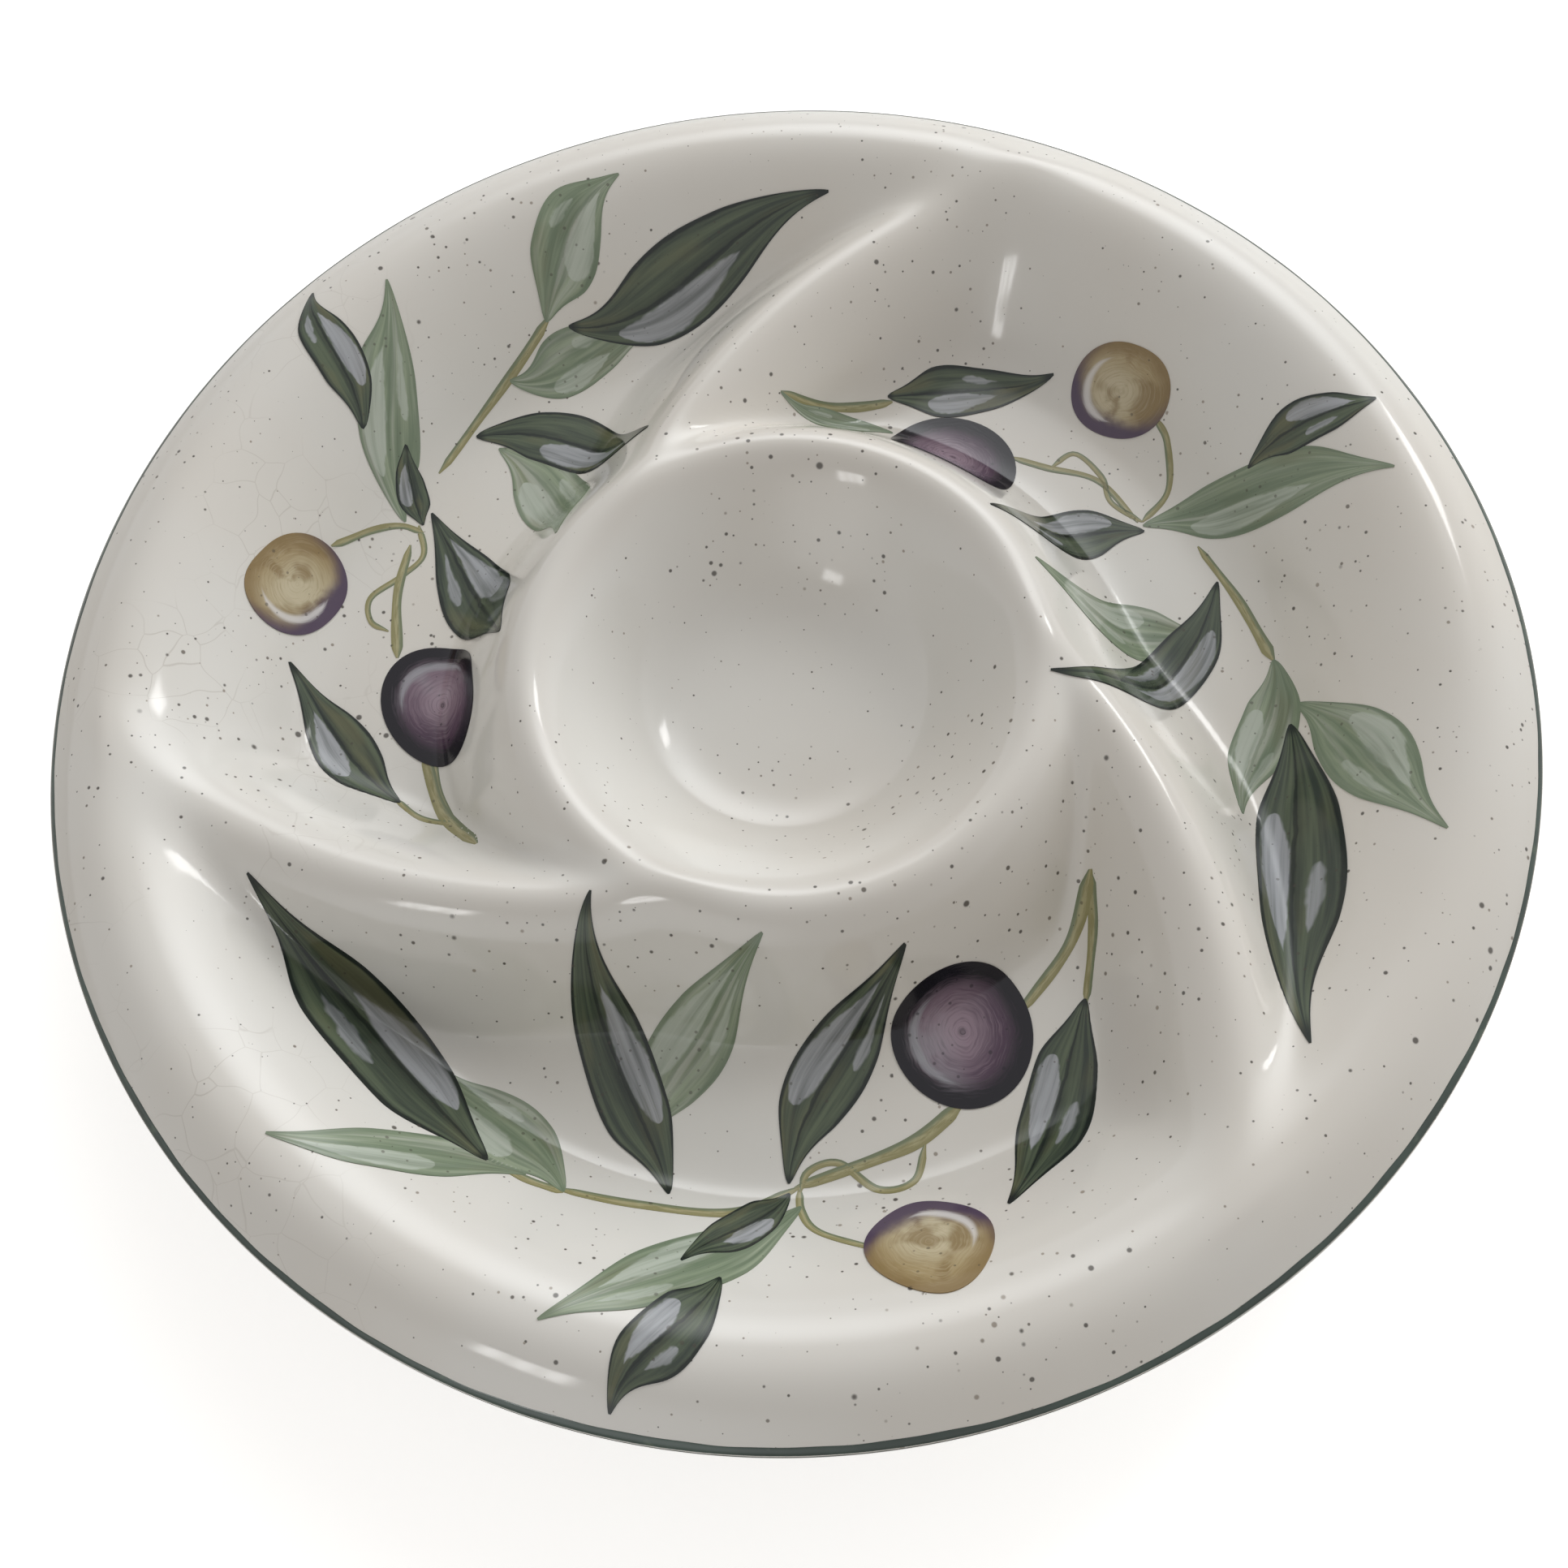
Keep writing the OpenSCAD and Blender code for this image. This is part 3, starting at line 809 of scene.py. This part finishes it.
# Olives: middle, half length, half width, then direction and turn of the light in degrees
DARK_OLIVES = {
    "front": [(27.9, -73.9, 15.4, 14, 95, 0)],
    "left": [(-74.5, 10.1, 16.8, 12.8, 130, -85)],
    "right": [(43.8, 59.7, 15.1, 12.9, -23, 40)],
}
GOLD_OLIVES = {
    "front": [(15.7, -115.9, 11.8, 14.6, 17, 135)],
    "left": [(-104.8, 39.3, 12.7, 10.7, 34, 5)],
    "right": [(83.7, 70.2, 12.2, 10.8, 155, -105)],
}
# Stems: points that each one passes, then its width at both ends
STEMS = {
    "front": [
        ([(-64, -92), (-58, -96), (-51, -99)], 1.2, 1.6),
        ([(-53, -98), (-38, -102), (-20, -105), (-7, -101)], 1.5, 2.1),
        ([(-8, -101), (8, -97), (17, -94), (26, -88)], 1.8, 3.3),
        ([(-7, -102), (-5, -98), (1, -97), (8, -103), (15, -102), (18, -95)], 1.5, 1.5),
        ([(-7, -101), (-7, -106), (-4, -111), (6, -116)], 1.7, 1.0),
        ([(40, -71), (52, -58), (57, -46)], 2.0, 2.8),
        ([(57, -47), (56, -58), (53, -71)], 1.7, 1.4),
    ],
    "left": [
        ([(-75, 71), (-63, 86), (-46, 104)], 1.4, 1.7),
        ([(-79, 56), (-84, 58), (-90, 56), (-98, 50)], 1.6, 1.1),
        ([(-80, 58), (-79, 50), (-84, 45), (-91, 40), (-91, 34), (-87, 31)], 1.5, 1.3),
        ([(-82, 53), (-85, 40), (-85, 24)], 1.8, 2.6),
        ([(-79, 0), (-75, -15), (-66, -27)], 2.4, 3.4),
        ([(-85, -11), (-79, -17), (-72, -19)], 1.2, 1.8),
        ([(-77, -1), (-75, -12), (-69, -24)], 1.4, 1.2),
    ],
    "right": [
        ([(84, 39), (91, 46), (92, 56), (90, 62)], 1.5, 1.2),
        ([(83, 39), (76, 51), (65, 56), (57, 60)], 1.3, 1.7),
        ([(66, 56), (72, 59), (77, 52), (78, 45), (84, 39)], 1.3, 1.3),
        ([(6, 73), (16, 74), (32, 78)], 1.2, 2.0),
        ([(95, 31), (101, 16), (105, 0)], 1.4, 2.4),
    ],
}
STEM_LIFT, PALE_LIFT, DARK_LIFT, OLIVE_LIFT = 0.10 * MM, 0.14 * MM, 0.18 * MM, 0.22 * MM
PAINT_SINK = -0.15 * MM
STROKE_SPACING = 0.9 * MM
STEM_COLS = 5
# A stem's stroke counts from 0 to 1 over this length
STEM_GRAIN = 10 * MM
OLIVE_TURNS, OLIVE_RINGS, OLIVE_STEPS = 96, 18, 41
# How far a leaf's spine is pulled for a bend of 1, and how far its outline wavers
LEAF_PULL, WAVER = 1.4, 0.07
LEAF_TIP_HALF = 0.22 * MM


def seed_of(x, y):
    """A number from 0 to 1 that belongs to a place, so that each stroke has its own grain."""
    value = math.sin(x * 12.9898 + y * 78.233) * 43758.5453
    return value - math.floor(value)


def eased(t):
    """0 to 1 in a soft step."""
    t = np.clip(t, 0, 1)
    return t**2 * (3 - 2 * t)


def brush(shape, wall, lift, spine, along, across, half, seed):
    """Lays a film of paint on the face along a line, half as wide as it says at each point."""
    run = np.gradient(spine, axis=0)
    run /= np.linalg.norm(run, axis=1, keepdims=True)
    out = np.stack([-run[:, 1], run[:, 0]], 1)
    plan = spine[:, None, :] + out[:, None, :] * (across * half)[..., None]
    x, y = plan[..., 0], plan[..., 1]
    strokes = np.stack(np.broadcast_arrays(along, (across + 1) / 2), -1).reshape(-1, 2)
    shape.film(wall.lay(x, y, lift), wall.lay(x, y, PAINT_SINK), strokes, seed)


def leaf(shape, wall, lift, foot_x, foot_y, tip_x, tip_y, width, bend_foot, bend_tip):
    """A slender leaf: a curved spine, a bellied outline that wavers, a drawn-out foot and tip."""
    foot, tip = np.array([foot_x, foot_y]) * MM, np.array([tip_x, tip_y]) * MM
    reach = tip - foot
    span = np.linalg.norm(reach)
    pull = np.array([-reach[1], reach[0]]) / span * LEAF_PULL * MM
    seed = seed_of(foot_x, tip_y)
    rows = max(14, round(span / STROKE_SPACING))
    cols = max(7, 2 * round(width * MM / STROKE_SPACING / 2) + 1)
    t = np.linspace(0, 1, rows)[:, None]
    near_foot = foot + reach * 0.33 + pull * bend_foot
    near_tip = foot + reach * 0.67 + pull * bend_tip
    spine = (1 - t) ** 3 * foot + t**3 * tip
    spine += 3 * (1 - t) ** 2 * t * near_foot + 3 * (1 - t) * t**2 * near_tip
    belly = np.sin(math.pi * t**0.86) ** 0.9
    belly *= 1 - 0.42 * eased((t - 0.62) / 0.34)
    belly *= 1 - 0.4 * eased((0.3 - t) / 0.26)
    half = 0.5 * width * MM * belly + LEAF_TIP_HALF
    across = np.linspace(-1, 1, cols)[None, :]
    left = np.sin(FULL_TURN * (1.7 * t + seed))
    right = np.sin(FULL_TURN * (1.4 * t + 2.3 * seed + 0.4))
    half = half * (1 + WAVER * np.where(across > 0, left, right))
    brush(shape, wall, lift, spine, t, across, half, seed)


def smooth_path(points, spacing):
    """A smooth line through the points, with steps of about the same length."""
    p = np.array(points, float)
    p = np.concatenate([[2 * p[0] - p[1]], p, [2 * p[-1] - p[-2]]])
    line = []
    for a, b, c, d in zip(p, p[1:], p[2:], p[3:]):
        bend, twist = 2 * a - 5 * b + 4 * c - d, 3 * b - a - 3 * c + d
        for t in np.linspace(0, 1, 24, endpoint=False):
            line.append(0.5 * (2 * b + (c - a) * t + bend * t**2 + twist * t**3))
    line = np.array(line + [p[-2]])
    run = np.concatenate([[0], np.cumsum(np.linalg.norm(np.diff(line, axis=0), axis=1))])
    even = np.linspace(0, run[-1], max(8, round(run[-1] / spacing)))
    return np.stack([np.interp(even, run, line[:, k]) for k in (0, 1)], 1), even


def stem(shape, wall, lift, points, width_from, width_to):
    """A thin stem laid on the face, with ends that taper."""
    path, run = smooth_path(np.array(points) * MM, STROKE_SPACING)
    t = run[:, None] / run[-1]
    seed = seed_of(*points[0])
    half = 0.5 * MM * mix(width_from, width_to, t)
    half *= 1 + WAVER * np.sin(FULL_TURN * (2 * t + seed))
    half *= 0.25 + 0.75 * np.clip(np.minimum(t, 1 - t) * 12, 0, 1)
    across = np.linspace(-1, 1, STEM_COLS)[None, :]
    brush(shape, wall, lift, path, run[:, None] / STEM_GRAIN, across, half, seed)


def olive(shape, wall, lift, x, y, half_length, half_width, direction, light):
    """An olive on the face: an egg-shaped patch of rings, its size measured along the surface."""
    seed = seed_of(x, y)
    x, y = x * MM, y * MM
    a = np.linspace(0, FULL_TURN, OLIVE_TURNS, endpoint=False)
    egg = 1 + 0.01 * np.cos(2 * a + FULL_TURN * seed) + 0.006 * np.cos(3 * a + 5 * seed)
    along, across = half_length * MM * egg * np.cos(a), half_width * MM * egg * np.sin(a)
    facing = np.arctan2(across, along) + math.radians(direction)
    reach = np.hypot(along, across)
    trail = np.linspace(0, 1, OLIVE_STEPS)[:, None] * reach
    climb = wall.height(x + trail * np.cos(facing), y + trail * np.sin(facing))
    walked = np.cumsum(np.hypot(np.diff(trail, axis=0), np.diff(climb, axis=0)), axis=0)
    walked = np.concatenate([np.zeros((1, OLIVE_TURNS)), walked])
    r = np.linspace(1 / OLIVE_RINGS, 1, OLIVE_RINGS)
    out = [np.interp(r * far, w, t) for far, w, t in zip(reach, walked.T, trail.T)]
    out = np.stack(out, 1)
    px, py = x + out * np.cos(facing), y + out * np.sin(facing)
    lit = facing - math.radians(light)
    ring = 0.5 + 0.5 * r[:, None, None] * np.stack([np.cos(lit), np.sin(lit)], -1)
    ring = ring.reshape(-1, 2)
    middle = np.array(x), np.array(y)
    upper, lower = ((wall.lay(px, py, h), wall.lay(*middle, h)) for h in (lift, PAINT_SINK))
    strokes = np.concatenate([ring, ring, np.full((2, 2), 0.5)])
    shape.plate(upper, lower, strokes=strokes, seed=seed)


# Operators

FACE_TURNS, BACK_TURNS, EDGE_TURNS = 400, 240, 600
FACE_SPACING, BACK_SPACING = 1.0 * MM, 1.6 * MM
BODY_GRIME, FOOT_GRIME = 0.15, 0.5
# Edge line: section past the edge and above the line's top or bottom, in millimetres
EDGE_TOP = ((-0.22, 0.24), (0.02, -0.1), (0.1, -0.6))
EDGE_BOTTOM = ((0.1, 0.7), (0.0, 0.2), (-0.3, -0.08), (-0.9, -0.05), (-1.0, 0.6))
# Waves of its brushed border: how many go round, where they start, how far they reach
EDGE_WAVES = ((7, 1, 0.5), (17, 2.1, 0.3), (41, 0, 0.2), (83, 4, 0.15))
EDGE_WIDTH, EDGE_WAVER, EDGE_LIFT = 1.35 * MM, 0.25 * MM, 0.09 * MM


def ring_radii(wall, spacing):
    """Radii of the rings of a surface, closer together over the lip, the dividers and the rim."""
    f = wall.form
    bands = (
        (0.0, 1.25),
        (f.lip_radius - 8 * MM, 0.75),
        (f.lip_radius + 10 * MM, 1.1),
        (f.foot_inner, 1.6),
        (f.foot_outer, 1.2),
        (wall.crown_r - 12 * MM, 1.0),
        (f.edge_radius, 1.0),
    )
    radii = []
    for (start, step), (end, _) in zip(bands, bands[1:]):
        count = max(1, round((end - start) / (step * spacing)))
        radii += list(np.linspace(start, end, count, endpoint=False))
    return np.array(radii[1:] + [f.edge_radius])


def crest_values(piece, wall):
    """Stores where the glaze bulges, for its finish."""
    x, y = points_of(piece.data)[:, :2].astype(float).T
    add_values(piece.data, "crest", wall.crest(x, y))


def sprigs(wall, kind, table, stroke, lift, finish):
    """One piece of paint in each compartment."""
    for place, rows in table.items():
        shape = Shape()
        for row in rows:
            stroke(shape, wall, lift, *row)
        shape.build(kind + place, finish)


class OLIVEDISH_OT_clay(bpy.types.Operator):
    """Model the clay wall that the glaze covers"""

    bl_idname = "olive_dish.clay"
    bl_label = "Clay wall"

    def execute(self, context):
        wall = Wall(context.scene.dish_form)
        f = wall.form
        radii = ring_radii(wall, BACK_SPACING)
        shape = Shape()
        shape.plate(
            wall.disc(radii, BACK_TURNS, f.glaze, wall.line_top, f.glaze),
            wall.disc(radii, BACK_TURNS, f.glaze + f.wall, wall.line_bottom, f.glaze),
        )
        finish = clay_finish("fired_clay", context.scene.dish_finish, BODY_GRIME)
        piece = shape.build("clay_wall", finish)
        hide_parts("dish_body")
        return {"FINISHED"}


class OLIVEDISH_OT_face_glaze(bpy.types.Operator):
    """Lay the glossy glaze over the whole face"""

    bl_idname = "olive_dish.face_glaze"
    bl_label = "Face glaze"

    def execute(self, context):
        wall = Wall(context.scene.dish_form)
        f = wall.form
        fine, coarse = ring_radii(wall, FACE_SPACING), ring_radii(wall, BACK_SPACING)
        shape = Shape()
        shape.plate(
            wall.disc(fine, FACE_TURNS, 0.0, wall.line_top),
            wall.disc(coarse, FACE_TURNS, f.glaze, wall.line_top, f.glaze),
        )
        finish = glaze_finish("face_glaze", context.scene.dish_finish, True)
        piece = shape.build("face_coat", finish)
        plan_map(piece, f.edge_radius, len(fine) * FACE_TURNS)
        crest_values(piece, wall)
        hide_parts("face_glaze")
        return {"FINISHED"}


class OLIVEDISH_OT_back_glaze(bpy.types.Operator):
    """Lay the glaze on the back, inside and outside the foot ring"""

    bl_idname = "olive_dish.back_glaze"
    bl_label = "Back glaze"

    def execute(self, context):
        wall = Wall(context.scene.dish_form)
        f = wall.form
        clay, skin, end = f.glaze + f.wall, 2 * f.glaze + f.wall, wall.line_bottom
        radii = ring_radii(wall, BACK_SPACING)
        inner = radii[radii <= f.foot_inner + 0.1 * MM]
        outer = radii[radii >= f.foot_outer - 0.1 * MM]
        shape = Shape()
        shape.plate(*(wall.disc(inner, BACK_TURNS, deep, end) for deep in (clay, skin)))
        top = wall.surface(outer, BACK_TURNS, clay, end, f.glaze)
        low = wall.surface(outer, BACK_TURNS, skin, end)
        shape.collar(np.concatenate([low, top[::-1]]).swapaxes(0, 1))
        finish = glaze_finish("back_glaze", context.scene.dish_finish, False)
        piece = shape.build("back_coat", finish)
        crest_values(piece, wall)
        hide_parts("back_glaze")
        return {"FINISHED"}


class OLIVEDISH_OT_edge_line(bpy.types.Operator):
    """Paint the dark green line round the edge, with a brushed upper border"""

    bl_idname = "olive_dish.edge_line"
    bl_label = "Edge line"

    def execute(self, context):
        wall = Wall(context.scene.dish_form)
        a = np.linspace(0, FULL_TURN, EDGE_TURNS, endpoint=False)
        waves = sum(reach * np.sin(count * a + start) for count, start, reach in EDGE_WAVES)
        edge = wall.form.edge_radius
        border = edge - EDGE_WIDTH - EDGE_WAVER * waves

        def on_face(r, rise):
            return r, wall.height(r * np.cos(a), r * np.sin(a)) + rise

        def at_edge(z, places):
            level = np.ones_like(a)
            return [(level * (edge + out * MM), level * (z + up * MM)) for out, up in places]

        loop = [
            on_face(border, 0.02 * MM),
            on_face(border + 0.18 * MM, EDGE_LIFT),
            on_face(0.5 * (border + edge) + 0.1 * MM, 1.3 * EDGE_LIFT),
            *at_edge(wall.line_top, EDGE_TOP),
            *at_edge(wall.line_bottom, EDGE_BOTTOM),
            on_face(border - 0.05 * MM, -0.3 * MM),
        ]
        sections = [np.stack([r * np.cos(a), r * np.sin(a), z], -1) for r, z in reversed(loop)]
        shape = Shape()
        shape.collar(np.stack(sections, 1))
        finish = edge_finish("edge_green", context.scene.dish_finish)
        piece = shape.build("edge_band", finish)
        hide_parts("rim_line")
        return {"FINISHED"}


class OLIVEDISH_OT_foot_ring(bpy.types.Operator):
    """Give the foot ring its bare clay finish"""

    bl_idname = "olive_dish.foot_ring"
    bl_label = "Foot ring"

    def execute(self, context):
        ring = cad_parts["foot_ring"]
        ring.data.materials.clear()
        finish = clay_finish("bare_foot", context.scene.dish_finish, FOOT_GRIME)
        ring.data.materials.append(finish)
        return {"FINISHED"}


class OLIVEDISH_OT_stems(bpy.types.Operator):
    """Paint the stems and tendrils of the sprigs"""

    bl_idname = "olive_dish.stems"
    bl_label = "Stems"

    def execute(self, context):
        finish = stem_finish("stem_paint", context.scene.dish_finish)
        sprigs(Wall(context.scene.dish_form), "stems_", STEMS, stem, STEM_LIFT, finish)
        return {"FINISHED"}


class OLIVEDISH_OT_leaves(bpy.types.Operator):
    """Paint the pale leaves and then the dark leaves of the sprigs"""

    bl_idname = "olive_dish.leaves"
    bl_label = "Leaves"

    def execute(self, context):
        wall = Wall(context.scene.dish_form)
        c = context.scene.dish_finish
        pale = (c.pale_leaf_deep, c.pale_leaf, c.pale_leaf_deep, c.pale_leaf_light)
        pale = leaf_finish("pale_leaf", *pale, c, 0.6, 0.85, 0.35)
        dark = (c.leaf_dark, c.leaf_green, c.leaf_line, c.leaf_light)
        dark = leaf_finish("dark_leaf", *dark, c, 0.95, 0.9, 0.0)
        sprigs(wall, "pale_leaves_", PALE_LEAVES, leaf, PALE_LIFT, pale)
        sprigs(wall, "dark_leaves_", DARK_LEAVES, leaf, DARK_LIFT, dark)
        return {"FINISHED"}


class OLIVEDISH_OT_olives(bpy.types.Operator):
    """Paint one ripe and one golden olive on each sprig"""

    bl_idname = "olive_dish.olives"
    bl_label = "Olives"

    def execute(self, context):
        wall = Wall(context.scene.dish_form)
        dark = dark_olive_finish("ripe_olive", context.scene.dish_finish)
        gold = gold_olive_finish("golden_olive", context.scene.dish_finish)
        sprigs(wall, "dark_olive_", DARK_OLIVES, olive, OLIVE_LIFT, dark)
        sprigs(wall, "gold_olive_", GOLD_OLIVES, olive, OLIVE_LIFT, gold)
        return {"FINISHED"}


CAMERA_PLACE = (0.0, -161.2 * MM, 339.58 * MM)
CAMERA_YAW, CAMERA_PITCH, CAMERA_ROLL = (math.radians(a) for a in (-0.887, 66.115, -6.706))
CAMERA_SENSOR = 36.0
FLOOR_RADIUS, FLOOR_TURNS = 4.0, 96
# From the dish out, the floor is lifted to full white between these distances
LIFT_FROM, LIFT_FULL = 0.3, 1.2
# Lights, all aimed at the dish: size and place
AIM = Vector((0, 0, 0.02))
SOFT_LIGHTS = {
    "back": ((2.6, 2.0), (0.5, 1.39, 1.05)),
    "side": ((2.4, 1.4), (1.44, 1.01, 0.5)),
    "front": ((2.4, 1.4), (-0.8, -1.5, 0.55)),
}
WINDOW_SIZE, WINDOW_PLACE = (0.2, 0.3), (0.95, 0.8, 0.95)
PANE_SIZE = (0.05, 0.2)
PANE_PLACES = ((-0.75, -0.9, 0.75), (-0.69, -0.95, 0.75), (-0.63, -1.0, 0.75))


def window(name, power, size, place):
    """A rectangle of light, aimed at the dish."""
    lamp = bpy.data.lights.new(name, "AREA")
    lamp.shape = "RECTANGLE"
    lamp.size, lamp.size_y = size
    lamp.energy = power
    obj = bpy.data.objects.new(name, lamp)
    bpy.context.scene.collection.objects.link(obj)
    obj.location = place
    obj.rotation_euler = (AIM - Vector(place)).to_track_quat("-Z", "Y").to_euler()
    return obj


def fade(lamp, tint):
    """Lets a tinted light fade out to its border, so that the glaze mirrors no hard edge."""
    lamp.color = tint
    lamp.use_nodes = True
    n = Nodes(lamp.node_tree)
    place = n.add("NewGeometry", {}).outputs["Parametric"]
    off = n.vectors("DISTANCE", "Value", place, (0.5, 0.5, 0.0))
    n.feed(n.tree.nodes["Emission"].inputs["Strength"], n.step(off, 0.5, 0.05))


class OLIVEDISH_OT_stage(bpy.types.Operator):
    """Set up the floor, the light and the camera"""

    bl_idname = "olive_dish.stage"
    bl_label = "Stage"

    def execute(self, context):
        scene, stage = context.scene, context.scene.dish_stage
        self.floor(scene, stage)
        self.sky(scene, stage)
        for name, (size, place) in SOFT_LIGHTS.items():
            light = window(name + "_light", getattr(stage, name + "_power"), size, place)
            light.visible_glossy = name != "side"
            fade(light.data, stage.day_tint)
        window("back_window", stage.window_power, WINDOW_SIZE, WINDOW_PLACE)
        for i, place in enumerate(PANE_PLACES):
            window(f"front_pane_{i + 1}", stage.pane_power, PANE_SIZE, place)
        self.camera(scene, stage)
        scene.view_settings.view_transform = "Standard"
        return {"FINISHED"}

    def floor(self, scene, stage):
        """A pale disc, lifted towards white where the camera sees it."""
        turns = np.linspace(0, FULL_TURN, FLOOR_TURNS, endpoint=False)
        ring = [(FLOOR_RADIUS * math.cos(t), FLOOR_RADIUS * math.sin(t), 0.0) for t in turns]
        mesh = bpy.data.meshes.new("floor")
        mesh.from_pydata(ring, [], [list(range(len(ring)))])
        floor = bpy.data.objects.new("floor", mesh)
        scene.collection.objects.link(floor)
        material = bpy.data.materials.new("pale_floor")
        material.use_nodes = True
        n = Nodes(material.node_tree, bare=True)
        inputs = {
            "Value": n.vectors("LENGTH", "Value", n.place()),
            "From Min": LIFT_FROM,
            "From Max": LIFT_FULL,
            "To Min": stage.floor_lift,
            "To Max": 1.0,
        }
        lift = n.add("MapRange", inputs).outputs["Result"]
        seen = n.add("LightPath", {}).outputs["Is Camera Ray"]
        paper = n.add("BsdfDiffuse", {"Color": stage.floor}).outputs[0]
        glow = n.add("Emission", {"Strength": n.times(seen, lift)}).outputs[0]
        both = n.add("AddShader", {0: paper, 1: glow}).outputs[0]
        n.add("OutputMaterial", {"Surface": both})
        mesh.materials.append(material)

    def sky(self, scene, stage):
        """Soft light from all round, which is white where it is seen or mirrored."""
        scene.world = bpy.data.worlds.new("soft_sky")
        scene.world.use_nodes = True
        n = Nodes(scene.world.node_tree, bare=True)
        ray = n.add("LightPath", {}).outputs
        seen = n.maths("MAXIMUM", ray["Is Camera Ray"], ray["Is Glossy Ray"])
        seen = n.maths("MAXIMUM", seen, ray["Is Transmission Ray"])
        soft = {"Color": stage.sky_tint, "Strength": stage.sky}
        white = {"Color": (1.0, 1.0, 1.0), "Strength": 1.0}
        soft, white = (n.add("Background", inputs).outputs[0] for inputs in (soft, white))
        mixed = n.add("MixShader", {0: seen, 1: soft, 2: white}).outputs[0]
        n.add("OutputWorld", {"Surface": mixed})

    def camera(self, scene, stage):
        data = bpy.data.cameras.new("camera")
        data.sensor_width = CAMERA_SENSOR
        data.lens = stage.lens
        camera = bpy.data.objects.new("camera", data)
        scene.collection.objects.link(camera)
        east, north = math.sin(CAMERA_YAW), math.cos(CAMERA_YAW)
        level, down = math.cos(CAMERA_PITCH), math.sin(CAMERA_PITCH)
        ahead = Vector((east * level, north * level, -down))
        right = Vector((north, -east, 0.0))
        up = right.cross(ahead)
        rolled = right * math.cos(CAMERA_ROLL) + up * math.sin(CAMERA_ROLL)
        upright = -right * math.sin(CAMERA_ROLL) + up * math.cos(CAMERA_ROLL)
        turn = Matrix((rolled, upright, -ahead)).transposed()
        camera.matrix_world = Matrix.Translation(CAMERA_PLACE) @ turn.to_4x4()
        scene.camera = camera


class OLIVEDISH_PT_panel(bpy.types.Panel):
    """Olive dish"""

    bl_idname = "OLIVEDISH_PT_panel"
    bl_label = "Olive Dish"
    bl_space_type = "VIEW_3D"
    bl_region_type = "UI"
    bl_category = "Olive Dish"

    def draw(self, context):
        for name in GROUPS:
            group = getattr(context.scene, name)
            column = self.layout.column(align=True)
            for item in group.__annotations__:
                column.prop(group, item)
        for step in STEPS:
            self.layout.operator(step.bl_idname)


GROUPS = {"dish_form": DishForm, "dish_finish": DishFinish, "dish_stage": DishStage}
STEPS = (
    OLIVEDISH_OT_clay,
    OLIVEDISH_OT_face_glaze,
    OLIVEDISH_OT_back_glaze,
    OLIVEDISH_OT_edge_line,
    OLIVEDISH_OT_foot_ring,
    OLIVEDISH_OT_stems,
    OLIVEDISH_OT_leaves,
    OLIVEDISH_OT_olives,
    OLIVEDISH_OT_stage,
)
CLASSES = (*GROUPS.values(), *STEPS, OLIVEDISH_PT_panel)


def register():
    for made in CLASSES:
        bpy.utils.register_class(made)
    for name, group in GROUPS.items():
        setattr(bpy.types.Scene, name, PointerProperty(type=group))


def unregister():
    for name in GROUPS:
        delattr(bpy.types.Scene, name)
    for made in reversed(CLASSES):
        bpy.utils.unregister_class(made)


def main():
    register()
    for step in STEPS:
        group, name = step.bl_idname.split(".")
        getattr(getattr(bpy.ops, group), name)()
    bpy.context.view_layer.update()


if __name__ == "__main__":
    main()
